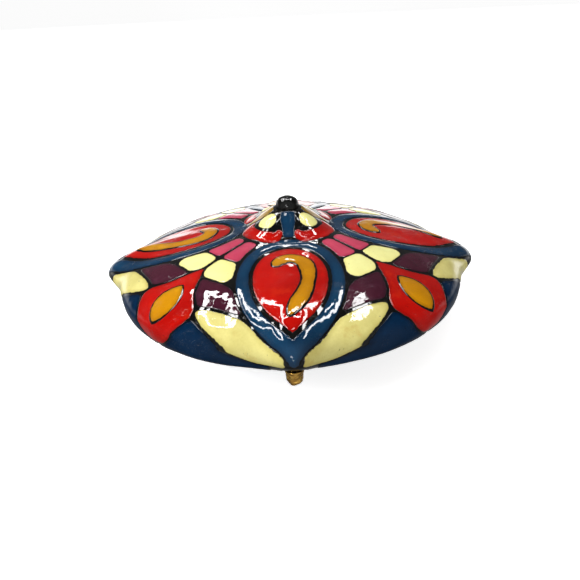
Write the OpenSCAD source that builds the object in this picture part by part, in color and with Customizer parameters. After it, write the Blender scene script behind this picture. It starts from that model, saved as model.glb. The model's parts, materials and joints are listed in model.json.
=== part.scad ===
// Small hinged box with a low cushion-shaped lid. The lid is round with four pinched tips and carries
// raised inlay cells on a dark ground. The front is -Y and the hinge is at the back.
// The origin is at the centre of the foot ring, on the surface that the box stands on.
//
// Places on the lid are given in plan as fractions of the tip radius. A place beyond the lid's edge
// wraps round the rolled edge to the underside.

/* [Lid outline] */
// Radius from the centre to the four pinched tips
tip_r = 32.5; // [28:0.5:38]
// Radius of the edge between the tips, as a fraction of the tip radius
edge_part = 0.912; // [0.9:0.004:0.94]
// Half width of a pinched tip, in degrees
pinch_deg = 7; // [5:0.5:9]
// Height of the tips above the surface that the box stands on
tip_h = 10.7; // [10:0.1:12]

/* [Lid dome] */
// Rise of the dome along a line through two tips
axis_rise = 7.95; // [7.5:0.05:8.4]
// Rise of the dome along a diagonal
diag_rise = 8.65; // [8.3:0.05:9]
// Fullness of the dome along a line through two tips
axis_power = 1.98; // [1.9:0.02:2.1]
// Fullness of the dome along a diagonal
diag_power = 1.76; // [1.7:0.02:1.9]
// Radius at which the central boss begins
boss_r = 8.1; // [7.5:0.1:9]
// Radius of the flat top of the boss
boss_top_r = 2.4; // [2:0.1:3]
// Height that the boss adds to the dome
boss_rise = 3.45; // [3.2:0.05:3.7]
// Radius of the flat seat under the lid's edge
seat_r = 28; // [27.8:0.1:28.4]
// Depth of that seat below the tips
seat_drop = 3.25; // [3:0.05:3.4]

/* [Inlay] */
// Depth of the dark ground below the finished surface
ground_depth = 0.6; // [0.5:0.05:0.8]
// Depth of the cells' undersides below the finished surface
cell_depth = 0.35; // [0.3:0.05:0.4]
// Width of the dark line between cells, as a fraction of the tip radius
line_part = 0.017; // [0.012:0.001:0.02]

/* [Brass mounts] */
// Outer radius of the lid rim
lid_rim_r = 27.1; // [26.9:0.1:27.5]
// Outer radius of the base rim
base_rim_r = 26.2; // [26:0.1:26.5]
// Height of the parting plane between lid and base
parting_h = 6.8; // [6.6:0.05:7]
// Thickness of each rim's flange
flange_t = 0.5; // [0.4:0.05:0.6]

/* [Hinge] */
// Distance of the hinge axis behind the centre
hinge_y = 29.5; // [29.3:0.1:29.8]
// Outer radius of the knuckles
knuckle_r = 1; // [0.9:0.05:1.1]
// Radius of the hinge pin
pin_r = 0.45; // [0.4:0.05:0.5]
// Running clearance of the pin in the base knuckle
pin_clear = 0.04; // [0.02:0.01:0.08]

/* [Knob] */
// Radius of the knob
knob_r = 2.05; // [1.9:0.05:2.2]
// Height of the knob
knob_h = 2.3; // [2:0.1:2.6]
// Radius of the knob's pin
knob_pin_r = 0.6; // [0.5:0.05:0.7]

/* [Hidden] */
$fn = 96;
EPS = 0.01;
// Gap between pieces that are cemented together
glue = 0.05;
// Gap between the two rims at the parting plane
rim_gap = 0.1;
// Length of a cut that passes right through the part
THROUGH = 40;

// The four petals lie on the axes and the four drops on the diagonals
PETALS = [["right", 0], ["back", 90], ["left", 180], ["front", 270]];
DIAGONALS = [["back_right", 45], ["back_left", 135], ["front_left", 225], ["front_right", 315]];

// ---- The finished surface of the lid ----

function mix(a, b, t) = a + (b - a) * t;
function clamp01(t) = min(1, max(0, t));
// Angle from the nearest line through two tips
function off_axis(a) = abs(((a + 45) % 90 + 90) % 90 - 45);
// 1 on a line through two tips and 0 on a diagonal
function axis_share(a) = (1 + cos(4 * a)) / 2;
// How far the edge's rolled part continues in plan, as a fraction of the edge's radius
ROLL = 0.15;

// Radius of the edge at angle a. The pinch fades as the edge rolls under, by t from 0 to 1.
function edge_r(a, t = 0) =
    tip_r * mix(edge_part, 1, (1 - 0.6 * t) * exp(-pow(off_axis(a) / pinch_deg, 2)));

// Share of the axis shape at u and a. Inside CENTRE_U it is the same all round, so the top is level.
CENTRE_U = 0.075;
CENTRE_FADE = 0.1;
function shape_share(u, a) = mix(1, axis_share(a), clamp01((u - CENTRE_U) / CENTRE_FADE));
function dome_z(u, a) =
    let(w = shape_share(u, a), p = mix(diag_power, axis_power, w))
    mix(diag_rise, axis_rise, w) * pow(max(0, 1 - pow(u, p)), 1 / p);

function boss_z(r) = boss_rise * pow(clamp01((boss_r - r) / (boss_r - boss_top_r)), 1.2);

// Point at u edge radii from the centre: the dome up to 1, then the rolled edge up to 1 + ROLL
function lid_point(u, a) =
    u <= 1
    ? let(r = u * edge_r(a))
      [r * cos(a), r * sin(a), tip_h + dome_z(u, a) + boss_z(r)]
    : let(t = min(1, (u - 1) / ROLL), r = seat_r + (edge_r(a, t) - seat_r) * cos(90 * t))
      [r * cos(a), r * sin(a), tip_h - seat_drop * sin(90 * t)];

function unit(v) = v / norm(v);
function normal(u, a) =
    u < 0.08
    ? [0, 0, 1]
    : let(
        outward = lid_point(u + 0.006, a) - lid_point(u - 0.006, a),
        around = lid_point(u, a + 0.6) - lid_point(u, a - 0.6)
    ) unit(cross(outward, around));

// Point over the plan place p, at height h above the finished surface
function over(p, h) =
    let(a = atan2(p[1], p[0]), u = norm(p) * tip_r / edge_r(a))
    lid_point(u, a) + h * normal(u, a);

// ---- Plates that follow the surface ----

function spin(p, a) = [p[0] * cos(a) - p[1] * sin(a), p[0] * sin(a) + p[1] * cos(a)];
function spin_all(list, a) = [for (p = list) spin(p, a)];
function mirror_all(list) = [for (p = list) [p[0], -p[1]]];
function cross2(a, b) = a[0] * b[1] - a[1] * b[0];

// Plate between the plan lines side_a and side_b, which have as many points as each other.
// It has across strips, lies from height low to high, and is a closed ring if ring is true.
module plate(side_a, side_b, across, low, high, ring = false) {
    count = len(side_a);
    mid = floor(count / 2) - 1;
    turn = cross2(side_a[mid + 1] - side_a[mid], side_b[mid] - side_a[mid]);
    a = turn > 0 ? side_a : side_b;
    b = turn > 0 ? side_b : side_a;
    cols = across + 1;
    layer = count * cols;
    steps = ring ? count : count - 1;
    points = [
        for (h = [high, low], i = [0:count - 1], j = [0:across])
            over(mix(a[i], b[i], j / across), h)
    ];
    function id(i, j, down = 0) = (i % count) * cols + j + down * layer;
    faces = concat(
        [for (i = [0:steps - 1], j = [0:across - 1]) each [
            [id(i, j), id(i, j + 1), id(i + 1, j + 1)],
            [id(i, j), id(i + 1, j + 1), id(i + 1, j)],
            [id(i, j, 1), id(i + 1, j + 1, 1), id(i, j + 1, 1)],
            [id(i, j, 1), id(i + 1, j, 1), id(i + 1, j + 1, 1)]
        ]],
        [for (i = [0:steps - 1]) each [
            [id(i, 0), id(i + 1, 0), id(i + 1, 0, 1)],
            [id(i, 0), id(i + 1, 0, 1), id(i, 0, 1)],
            [id(i, across), id(i + 1, across, 1), id(i + 1, across)],
            [id(i, across), id(i, across, 1), id(i + 1, across, 1)]
        ]],
        ring ? [] : [for (j = [0:across - 1]) each [
            [id(0, j), id(0, j, 1), id(0, j + 1, 1)],
            [id(0, j), id(0, j + 1, 1), id(0, j + 1)],
            [id(count - 1, j), id(count - 1, j + 1), id(count - 1, j + 1, 1)],
            [id(count - 1, j), id(count - 1, j + 1, 1), id(count - 1, j, 1)]
        ]]
    );
    polyhedron(points = points, faces = faces, convexity = 6);
}

// Teardrop along +X: inner end, widest place, outer tip and half width. Part t runs from 0 at the
// inner end to 1 at the tip, and gives the place along the axis and the half width there.
function drop_at(d, t) =
    t < 0.5
    ? let(c = cos(180 * t)) [d[1] - (d[1] - d[0]) * c, d[3] * sin(180 * t)]
    : let(s = 2 * t - 1) [mix(d[1], d[2], s), d[3] * (1 - pow(s, 2.1))];
// The two sides of a teardrop, and its outline as one closed line
function drop_side(d, n) = [for (i = [0:n]) let(p = drop_at(d, i / n)) [p[0], max(p[1], 0.002)]];
function drop_ring(d, n) = [
    for (i = [0:n]) drop_at(d, i / n),
    for (i = [n - 1:-1:1]) let(p = drop_at(d, i / n)) [p[0], -p[1]]
];

// Plate of a shape that is the same on both sides of its axis, at angle a
module even_plate(side, across, low, high, a) {
    plate(spin_all(side, a), spin_all(mirror_all(side), a), across, low, high);
}
// The same cell on both sides of every diagonal
module paired_plates(side_a, side_b, across, low, high) {
    for (d = DIAGONALS) {
        plate(spin_all(side_a, d[1]), spin_all(side_b, d[1]), across, low, high);
        plate(spin_all(mirror_all(side_a), d[1]), spin_all(mirror_all(side_b), d[1]), across, low, high);
    }
}

// ---- Petals ----

BORDER_OUT = [0.232, 0.555, 0.998, 0.247];
FIELD = [0.315, 0.55, 0.91, 0.172];
BORDER_IN = [FIELD[0] - line_part, FIELD[1], FIELD[2] + 1.6 * line_part, FIELD[3] + line_part];
// Middle line of the comma, from its bulb to its tail, and the half width at each point
COMMA = [
    [[0.487, -0.056], 0.012], [[0.463, -0.054], 0.034], [[0.425, -0.031], 0.038], [[0.418, 0.018], 0.038],
    [[0.452, 0.066], 0.040], [[0.522, 0.082], 0.036], [[0.600, 0.078], 0.029], [[0.680, 0.057], 0.031],
    [[0.745, 0.026], 0.030], [[0.800, 0.002], 0.010]
];
function comma_side(way) = [
    for (i = [0:len(COMMA) - 1])
        let(
            from = COMMA[max(0, i - 1)][0],
            to = COMMA[min(len(COMMA) - 1, i + 1)][0],
            along = (to - from) / norm(to - from)
        )
        COMMA[i][0] + way * COMMA[i][1] * [-along[1], along[0]]
];

module petal_border(a) {
    color("midnightblue")
    plate(spin_all(drop_ring(BORDER_OUT, 16), a), spin_all(drop_ring(BORDER_IN, 16), a), 2,
        -cell_depth, 0.1, ring = true);
}
module petal_field(a) {
    color("firebrick") even_plate(drop_side(FIELD, 12), 4, -cell_depth, 0, a);
}
module petal_comma(a) {
    color("goldenrod") plate(spin_all(comma_side(1), a), spin_all(comma_side(-1), a), 2, 0.12, 0.3);
}

// ---- Cells between the petals, in a frame whose +X is the diagonal ----

// Half widths of the red drop and of its ochre centre along the diagonal
RED_DROP = [
    [0.590, 0.003], [0.630, 0.030], [0.665, 0.050], [0.700, 0.072], [0.730, 0.098], [0.760, 0.135],
    [0.785, 0.165], [0.815, 0.178], [0.845, 0.168], [0.880, 0.142], [0.910, 0.115], [0.940, 0.086],
    [0.965, 0.050]
];
DROP_CENTRE = [
    [0.712, 0.004], [0.735, 0.034], [0.760, 0.053], [0.790, 0.066], [0.820, 0.069], [0.850, 0.062],
    [0.878, 0.043], [0.900, 0.012]
];

module red_drop(a) {
    color("firebrick") even_plate(RED_DROP, 4, -cell_depth, -0.1, a);
}
module drop_centre(a) {
    color("goldenrod") even_plate(DROP_CENTRE, 2, 0.02, 0.2, a);
}

module pink_bars() {
    near = [[0.300, 0.011], [0.385, 0.012], [0.470, 0.013]];
    far = [[0.294, 0.068], [0.385, 0.084], [0.462, 0.110]];
    color("palevioletred") paired_plates(near, far, 1, -cell_depth, -0.1);
}
module cream_tiles() {
    near = [[0.487, 0.014], [0.535, 0.014], [0.583, 0.014], [0.620, 0.052]];
    far = [[0.474, 0.112], [0.513, 0.138], [0.556, 0.172], [0.604, 0.172]];
    color("lemonchiffon") paired_plates(near, far, 2, -cell_depth, -0.05);
}
module purple_panels() {
    upper = [[0.637, 0.056], [0.628, 0.130], [0.622, 0.190], [0.626, 0.252], [0.677, 0.338]];
    lower = [[0.745, 0.147], [0.760, 0.178], [0.737, 0.240], [0.719, 0.308], [0.697, 0.374]];
    color("#552a3c") paired_plates(upper, lower, 2, -cell_depth, -0.1);
}
module cream_leaves() {
    upper = [
        [0.784, 0.188], [0.754, 0.250], [0.738, 0.310], [0.723, 0.364], [0.714, 0.408], [0.718, 0.440],
        [0.721, 0.474], [0.725, 0.520], [0.729, 0.562], [0.731, 0.600], [0.731, 0.628]
    ];
    lower = [
        [0.802, 0.206], [0.820, 0.270], [0.822, 0.330], [0.819, 0.376], [0.814, 0.412], [0.807, 0.448],
        [0.798, 0.490], [0.786, 0.540], [0.775, 0.580], [0.764, 0.612], [0.750, 0.638]
    ];
    color("khaki") paired_plates(upper, lower, 3, -cell_depth, -0.05);
}
// The rim panels run from under the leaves, over the edge, to the rolled underside
RIM_TOP = [
    [0.905, 0.134], [0.868, 0.178], [0.843, 0.215], [0.840, 0.280], [0.841, 0.360], [0.828, 0.450],
    [0.805, 0.550], [0.790, 0.610]
];
RIM_END = 1.09;
module rim_panels() {
    low_line = [for (p = RIM_TOP) let(a = atan2(p[1], p[0]))
        unit(p) * RIM_END * edge_r(a + 45) / tip_r];
    color("darkslateblue") paired_plates(RIM_TOP, low_line, 4, -cell_depth, -0.1);
}

// ---- Cells on the boss ----

// Arc about the place [x, 0], from -end to end degrees, with different reaches along x and y
function arc(x, reach_x, reach_y, end, n) =
    [for (i = [0:n]) let(t = mix(-end, end, i / n)) [x + reach_x * cos(t), reach_y * sin(t)]];

// Place of the ovals along the diagonal and their half sizes along and across it
OVAL_R = 0.149;
OVAL_DEEP = 0.042;
OVAL_WIDE = 0.048;

module boss_horseshoes() {
    outer = arc(0.150, 0.122, 0.118, 80, 12);
    inner = arc(0.148, 0.060, 0.071, 80, 12);
    color("firebrick")
    for (d = DIAGONALS)
        plate(spin_all(outer, d[1]), spin_all(inner, d[1]), 1, -cell_depth, -0.1);
}
module boss_ovals() {
    color("lemonchiffon")
    for (d = DIAGONALS)
        plate(spin_all(arc(OVAL_R, OVAL_DEEP, OVAL_WIDE, 80, 6), d[1]),
            spin_all(arc(OVAL_R, -OVAL_DEEP, OVAL_WIDE, 80, 6), d[1]), 2, -cell_depth, 0);
}
// Half widths of the stems and of the strips, which end between the legs of the horseshoes
STEM = [[0.082, 0.036], [0.118, 0.040], [0.150, 0.034], [0.180, 0.028], [0.208, 0.024]];
STRIP = [[0.082, 0.038], [0.108, 0.044], [0.135, 0.040], [0.160, 0.026], [0.205, 0.010]];
module boss_stems() {
    color("midnightblue") for (a = [90, 270]) even_plate(STEM, 2, -cell_depth, 0, a);
}
module boss_strips() {
    color("olive") for (a = [0, 180]) even_plate(STRIP, 2, -cell_depth, 0, a);
}

// ---- Lid ----

// Angles of the shell's columns, closer together at the pinched tips
COLUMNS = [
    for (
        q = [0:3],
        a = [0, 2, 4.5, 7, 9.5, 12.5, 17, 23, 32, 45, 58, 67, 73, 77.5, 80.5, 83, 85.5, 88]
    ) 90 * q + a
];
// Rows of the shell from the centre to the seat, in edge radii
ROWS = [0.074, 0.12, 0.18, 0.26, 0.36, 0.47, 0.58, 0.68, 0.77, 0.85, 0.91, 0.955, 0.985, 1,
    1.03, 1.06, 1.1, 1.15];

CAVITY_R = 26.6;
CAVITY_RISE = 6.6;
SEAT_H = tip_h - seat_drop;
BOSS_TOP_H = lid_point(0.05, 0)[2] - ground_depth;
LINING_T = 0.45;
THUMB_Y = -29.9;
THUMB_SOCKET_R = 1.75;
THUMB_SOCKET_TOP = SEAT_H + 1.5;
// The notch that clears the hinge
NOTCH_R = knuckle_r + 0.35;
NOTCH_L = 9;

module lid_blank() {
    n = len(COLUMNS);
    m = len(ROWS);
    body = [for (u = ROWS, a = COLUMNS) lid_point(u, a) - ground_depth * normal(u, a)];
    last = m * n;
    seat = [for (a = COLUMNS) [seat_r * cos(a), seat_r * sin(a), SEAT_H]];
    points = concat(body, seat, [[0, 0, BOSS_TOP_H + 2 * EPS], [0, 0, SEAT_H]]);
    function id(i, j) = i * n + j % n;
    faces = concat(
        [for (i = [0:m - 1], j = [0:n - 1]) each [
            [id(i, j), id(i, j + 1), id(i + 1, j + 1)],
            [id(i, j), id(i + 1, j + 1), id(i + 1, j)]
        ]],
        [for (j = [0:n - 1]) [last + n, id(0, j + 1), id(0, j)]],
        [for (j = [0:n - 1]) [last + n + 1, last + j, last + (j + 1) % n]]
    );
    polyhedron(points = points, faces = faces, convexity = 6);
}

// Half section of a dome of revolution, from the axis out, standing on height z
function dome_line(r, rise, z, n) =
    [for (i = [0:n]) let(t = 90 * i / n) [r * sin(t), z + rise * cos(t)]];

module lid_shell() {
    color("#141414")
    difference() {
        lid_blank();
        rotate_extrude()
            polygon(concat([[0, SEAT_H - 1]], dome_line(CAVITY_R, CAVITY_RISE, tip_h, 8),
                [[CAVITY_R, SEAT_H - 1]]));
        cylinder(r = knob_pin_r + glue, h = THROUGH);
        translate([0, THUMB_Y, 0]) cylinder(r = THUMB_SOCKET_R, h = THUMB_SOCKET_TOP);
        translate([-NOTCH_L / 2, hinge_y, parting_h])
            rotate([0, 90, 0])
                cylinder(r = NOTCH_R, h = NOTCH_L);
    }
}

// The lid rim: a flange under the seat, and a wall with a bevelled top inside the hollow
RIM_BORE_R = 25.7;
RIM_WALL_TOP = tip_h - 1.2;
RIM_BEVEL = 0.2;
module lid_rim() {
    low = parting_h + rim_gap / 2;
    wall_r = CAVITY_R - glue;
    color("goldenrod")
    rotate_extrude()
        polygon([
            [RIM_BORE_R, low], [lid_rim_r, low], [lid_rim_r, low + flange_t], [wall_r, low + flange_t],
            [wall_r, RIM_WALL_TOP], [RIM_BORE_R + RIM_BEVEL, RIM_WALL_TOP],
            [RIM_BORE_R, RIM_WALL_TOP - 1.5 * RIM_BEVEL]
        ]);
}

// The lining stops just above the rim's wall, and has a hole for the knob's pin
LINING_R = CAVITY_R - 0.12;
LINING_RISE = CAVITY_RISE - 0.15;
LINING_LOW = tip_h - 1;
LINING_HOLE_R = 1;
LINING_STEPS = 8;
module lid_lining() {
    outer = dome_line(LINING_R, LINING_RISE, tip_h, LINING_STEPS);
    inner = dome_line(LINING_R - LINING_T, LINING_RISE - LINING_T, tip_h, LINING_STEPS);
    color("ivory")
    difference() {
        rotate_extrude()
            polygon(concat(
                outer,
                [[LINING_R, LINING_LOW], [LINING_R - LINING_T, LINING_LOW]],
                [for (i = [LINING_STEPS:-1:0]) inner[i]]
            ));
        cylinder(r = LINING_HOLE_R, h = THROUGH);
    }
}

// ---- Knob and its fixing ----

// Half section of the knob, as fractions of its radius and height
KNOB_LINE = [[0, 0], [0.93, 0], [0.98, 0.16], [1, 0.37], [1, 0.58], [0.9, 0.79], [0.63, 0.95], [0, 1]];
KNOB_H = BOSS_TOP_H + 0.1;
KNOB_BORE = 0.7;
WASHER_R = 2.4;
WASHER_T = 0.35;
NUT_R = 1.7;
NUT_T = 1;
// Height of the washer's underside, just under the lining, and the pin's length below the nut
WASHER_H = tip_h + LINING_RISE - LINING_T - 0.5;
PIN_END = 0.5;

module knob() {
    color("#0a0a0c")
    difference() {
        translate([0, 0, KNOB_H])
            rotate_extrude()
                polygon([for (p = KNOB_LINE) [p[0] * knob_r, p[1] * knob_h]]);
        translate([0, 0, KNOB_H - 1]) cylinder(r = knob_pin_r + glue, h = 1 + KNOB_BORE);
    }
}
module knob_pin() {
    low = WASHER_H - NUT_T - glue * 2 - PIN_END;
    color("goldenrod") translate([0, 0, low]) cylinder(r = knob_pin_r, h = KNOB_H + KNOB_BORE - 0.1 - low);
}
module knob_washer() {
    color("goldenrod")
    translate([0, 0, WASHER_H])
        difference() {
            cylinder(r = WASHER_R, h = WASHER_T);
            translate([0, 0, -1]) cylinder(r = knob_pin_r + glue, h = THROUGH);
        }
}
module knob_nut() {
    color("goldenrod")
    translate([0, 0, WASHER_H - NUT_T - glue * 2])
        difference() {
            cylinder(r = NUT_R, h = NUT_T, $fn = 6);
            translate([0, 0, -1]) cylinder(r = knob_pin_r + 2 * EPS, h = THROUGH);
        }
}

// ---- Hinge ----

KNUCKLE_GAP = 0.15;
BASE_KNUCKLE_L = 3.6;
LID_KNUCKLE_L = 2.3;

module along_hinge(x, length, r) {
    translate([x, hinge_y, parting_h]) rotate([0, 90, 0]) cylinder(r = r, h = length);
}
// Strap from a rim of radius rim_r back to the knuckle, between two heights
module strap(x, length, z, rim_r) {
    difference() {
        translate([x, rim_r - 2, z]) cube([length, hinge_y - rim_r + 2, flange_t]);
        cylinder(r = rim_r + glue, h = THROUGH);
        along_hinge(x - 1, length + 2, pin_r + pin_clear);
    }
}
module knuckle(x, length, bore_r) {
    difference() {
        along_hinge(x, length, knuckle_r);
        along_hinge(x - 1, length + 2, bore_r);
    }
}
module base_hinge_leaf() {
    x = -BASE_KNUCKLE_L / 2;
    color("goldenrod")
    union() {
        knuckle(x, BASE_KNUCKLE_L, pin_r + pin_clear);
        strap(x, BASE_KNUCKLE_L, parting_h - rim_gap / 2 - flange_t, base_rim_r);
    }
}
module lid_hinge_leaf() {
    color("goldenrod")
    for (x = [-BASE_KNUCKLE_L / 2 - KNUCKLE_GAP - LID_KNUCKLE_L, BASE_KNUCKLE_L / 2 + KNUCKLE_GAP])
        union() {
            knuckle(x, LID_KNUCKLE_L, pin_r + EPS);
            strap(x, LID_KNUCKLE_L, parting_h + rim_gap / 2, lid_rim_r);
        }
}
module hinge_pin() {
    half = BASE_KNUCKLE_L / 2 + KNUCKLE_GAP + LID_KNUCKLE_L;
    color("goldenrod") along_hinge(-half, 2 * half, pin_r);
}

// ---- Clasp ----

// The thumb: a ball that widens upwards into its socket, and an arm back to the rim
THUMB_BALL_R = 1.1;
THUMB_WAIST_R = 1.05;
THUMB_TOP_R = 1.55;
THUMB_LOW = 6.2;
THUMB_TOP = 8.8;
THUMB_ARM_W = 2;
module clasp_thumb() {
    arm_z = parting_h + rim_gap / 2;
    color("goldenrod")
    union() {
        translate([0, THUMB_Y, THUMB_LOW + THUMB_BALL_R]) {
            sphere(r = THUMB_BALL_R);
            cylinder(r1 = THUMB_WAIST_R, r2 = THUMB_TOP_R, h = THUMB_TOP - THUMB_LOW - THUMB_BALL_R);
        }
        difference() {
            translate([-THUMB_ARM_W / 2, THUMB_Y, arm_z])
                cube([THUMB_ARM_W, -THUMB_Y - lid_rim_r + 1, flange_t]);
            cylinder(r = lid_rim_r + glue, h = THROUGH);
        }
    }
}
LUG_R = 0.8;
LUG_OUT = 0.35;
module catch_lug() {
    color("goldenrod")
    difference() {
        translate([0, -base_rim_r - LUG_OUT, parting_h - rim_gap / 2 - flange_t])
            cylinder(r = LUG_R, h = flange_t);
        cylinder(r = base_rim_r + glue, h = THROUGH);
    }
}

// ---- Base ----

// Outer and inner radius of the foot ring, and the height of the recess inside it
FOOT_R = 16.25;
FOOT_BORE_R = 14.8;
FOOT_RECESS = 0.9;
// Half sections of the bowl, outside and inside
BOWL_OUT = [
    [FOOT_R, 0], [FOOT_R, 0.6], [17.5, 1.15], [20, 2.3], [22.3, 3.65], [24.1, 4.8], [25.1, 5.6],
    [25.6, 6.15]
];
BOWL_IN = [[0, 1.5], [15.8, 1.5], [19.2, 2.8], [21.9, 4.2], [23.7, 5.25], [24.6, 6.15]];
BASE_BORE_R = 24.5;
BASE_LIP_R = 25.4;
BASE_LIP_H = 0.9;
BASE_LIP_BEVEL = 0.15;
// The lining keeps this gap from the bowl, and is this much lower on its own inside
LINING_GAP = 0.1;
LINING_DEEP = 0.45;
BASE_LINING_TOP = 5.6;
PAD_R = 14.5;
PAD_H = 0.25;
PAD_T = 0.6;

module base_bowl() {
    color("midnightblue")
    rotate_extrude()
        polygon(concat(
            [[0, FOOT_RECESS], [FOOT_BORE_R, FOOT_RECESS], [FOOT_BORE_R, 0]],
            BOWL_OUT,
            [for (i = [len(BOWL_IN) - 1:-1:0]) BOWL_IN[i]]
        ));
}
// The base rim: a flange on the bowl, and a bevelled lip that stands inside the lid rim
module base_rim() {
    high = parting_h - rim_gap / 2;
    lip = high + BASE_LIP_H;
    color("goldenrod")
    rotate_extrude()
        polygon([
            [BASE_BORE_R, high - flange_t], [base_rim_r, high - flange_t], [base_rim_r, high],
            [BASE_LIP_R, high], [BASE_LIP_R, lip - BASE_LIP_BEVEL], [BASE_LIP_R - BASE_LIP_BEVEL, lip],
            [BASE_BORE_R + 0.4, lip], [BASE_BORE_R, high + 0.2]
        ]);
}
module base_lining() {
    count = len(BOWL_IN) - 1;
    under = [for (i = [0:count - 1]) [max(0, BOWL_IN[i][0] - LINING_GAP), BOWL_IN[i][1] + LINING_GAP]];
    above = [for (i = [count - 1:-1:0])
        [max(0, BOWL_IN[i][0] - 2 * LINING_GAP - 0.3), BOWL_IN[i][1] + LINING_GAP + LINING_DEEP]];
    color("ivory")
    intersection() {
        rotate_extrude() polygon(concat(under, [[under[count - 1][0], BASE_LINING_TOP]], above));
        cylinder(r = BASE_BORE_R, h = BASE_LINING_TOP);
    }
}
module foot_pad() {
    color("darkgreen") translate([0, 0, PAD_H]) cylinder(r = PAD_R, h = PAD_T);
}

lid_shell();
lid_rim();
lid_lining();
lid_hinge_leaf();
hinge_pin();
clasp_thumb();
knob();
knob_pin();
knob_washer();
knob_nut();
for (p = PETALS) {
    petal_border(p[1]);
    petal_field(p[1]);
    petal_comma(p[1]);
}
for (d = DIAGONALS) {
    red_drop(d[1]);
    drop_centre(d[1]);
}
cream_tiles();
pink_bars();
purple_panels();
cream_leaves();
rim_panels();
boss_horseshoes();
boss_ovals();
boss_stems();
boss_strips();
base_bowl();
base_rim();
base_lining();
base_hinge_leaf();
catch_lug();
foot_pad();
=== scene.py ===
import json
import math

import bmesh
import bpy
import numpy as np
from mathutils import Matrix, Vector

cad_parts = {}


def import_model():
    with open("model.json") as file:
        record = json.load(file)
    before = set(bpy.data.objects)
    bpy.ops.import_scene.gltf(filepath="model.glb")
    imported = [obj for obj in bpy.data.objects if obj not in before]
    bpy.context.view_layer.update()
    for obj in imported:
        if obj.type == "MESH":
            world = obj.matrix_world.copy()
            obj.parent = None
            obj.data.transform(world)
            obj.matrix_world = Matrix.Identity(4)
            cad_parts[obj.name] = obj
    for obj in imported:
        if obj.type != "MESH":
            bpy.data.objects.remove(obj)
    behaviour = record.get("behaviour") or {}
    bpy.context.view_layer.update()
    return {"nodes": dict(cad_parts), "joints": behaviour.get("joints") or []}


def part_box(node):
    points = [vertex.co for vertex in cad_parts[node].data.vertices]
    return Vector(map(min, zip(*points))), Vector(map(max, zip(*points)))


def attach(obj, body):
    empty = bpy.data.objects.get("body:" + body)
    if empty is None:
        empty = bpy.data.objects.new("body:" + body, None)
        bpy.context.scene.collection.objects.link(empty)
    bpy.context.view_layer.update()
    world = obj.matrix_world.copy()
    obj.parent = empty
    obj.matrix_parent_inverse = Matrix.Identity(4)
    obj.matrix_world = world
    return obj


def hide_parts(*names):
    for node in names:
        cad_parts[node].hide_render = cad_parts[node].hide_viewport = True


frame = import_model()

# A small hinged box with an inlaid, clear-coated lid. The front is -Y and the hinge is at the back.

MM = 0.001

# ---------------------------------------------------------------------------
# The lid's finished surface, with the same shape as in the CAD source.
# Plan places are fractions of the tip radius; heights over the surface are mm.
# ---------------------------------------------------------------------------

GROUND_CAD = 0.6                 # the CAD ground lies this far under the finished surface
SEAT_DROP = 3.25                 # the seat lies this far below the tips
SEAT_R = 28.0                    # radius of the flat seat under the edge
ROLL = 0.15                      # the rolled edge's share of plan, beyond the edge
EDGE_PART = 0.912                # radius of the edge between the tips
PINCH_DEG = 7.0                  # half width of a pinched tip
AXIS_RISE, DIAG_RISE = 7.95, 8.65
AXIS_POWER, DIAG_POWER = 1.98, 1.76
BOSS_R, BOSS_TOP_R, BOSS_RISE = 8.1, 2.4, 3.45
CENTRE_U, CENTRE_FADE = 0.075, 0.1
CAVITY_R, CAVITY_RISE = 26.6, 6.6
LINE = 0.018                     # width of the dark line around a petal's field
GROW = 0.004                     # how far the single cells spread beyond their outlines

TIP_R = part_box("lid_shell")[1].x / MM + GROUND_CAD
SEAT_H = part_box("lid_shell")[0].z / MM
TIP_H = SEAT_H + SEAT_DROP

GROUND = 0.1                     # depth of the dark ground in this model
ROOT = 0.15                      # how far a cell's edge goes on below its foot
SWELL, SWELL_MM, SWELL_SEED = 0.035, 5.0, 11     # height, length and seed of the cells' shared waves
RIPPLE, RIPPLE_MM = 0.012, 1.7                   # height and length of each cell's own waves
GROUND_SWELL = 0.03              # height of the ground's waves, which run like the cells' own
CALM_EDGE = 0.5                  # the waves fade out over this distance from a cell's edge

QUARTERS = {"right": 0, "back": 90, "left": 180, "front": 270}
DIAGONALS = {"back_right": 45, "back_left": 135, "front_left": 225, "front_right": 315}


def off_axis(a):
    return np.abs((a + 45) % 90 - 45)


def edge_r(a, t=0.0):
    pinch = (1 - 0.6 * t) * np.exp(-(off_axis(a) / PINCH_DEG) ** 2)
    return TIP_R * (EDGE_PART + (1 - EDGE_PART) * pinch)


def polar(r, z, a):
    a = np.radians(a)
    return np.stack([r * np.cos(a), r * np.sin(a), z], -1)


def lid_point(u, a):
    """Points of the finished surface, in mm, at u edge radii and angle a in degrees."""
    share = (1 + np.cos(np.radians(4 * a))) / 2
    share = 1 + (share - 1) * np.clip((u - CENTRE_U) / CENTRE_FADE, 0, 1)
    power = DIAG_POWER + (AXIS_POWER - DIAG_POWER) * share
    rise = DIAG_RISE + (AXIS_RISE - DIAG_RISE) * share
    inside = np.clip(u, 0, 1)
    r = inside * edge_r(a)
    boss = np.clip((BOSS_R - r) / (BOSS_R - BOSS_TOP_R), 0, 1) ** 1.2
    z = TIP_H + rise * np.maximum(0, 1 - inside ** power) ** (1 / power) + BOSS_RISE * boss
    t = np.clip((u - 1) / ROLL, 0, 1)
    turn = np.radians(90 * t)
    rolled_r = SEAT_R + (edge_r(a, t) - SEAT_R) * np.cos(turn)
    rolled_z = TIP_H - SEAT_DROP * np.sin(turn)
    return polar(np.where(u <= 1, r, rolled_r), np.where(u <= 1, z, rolled_z), a)


def lid_normal(u, a):
    along = lid_point(u + 0.006, a) - lid_point(u - 0.006, a)
    around = lid_point(u, a + 0.6) - lid_point(u, a - 0.6)
    n = np.cross(along, around)
    n /= np.maximum(np.linalg.norm(n, axis=-1, keepdims=True), 1e-9)
    n[u < 0.08] = (0, 0, 1)
    return n


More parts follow.
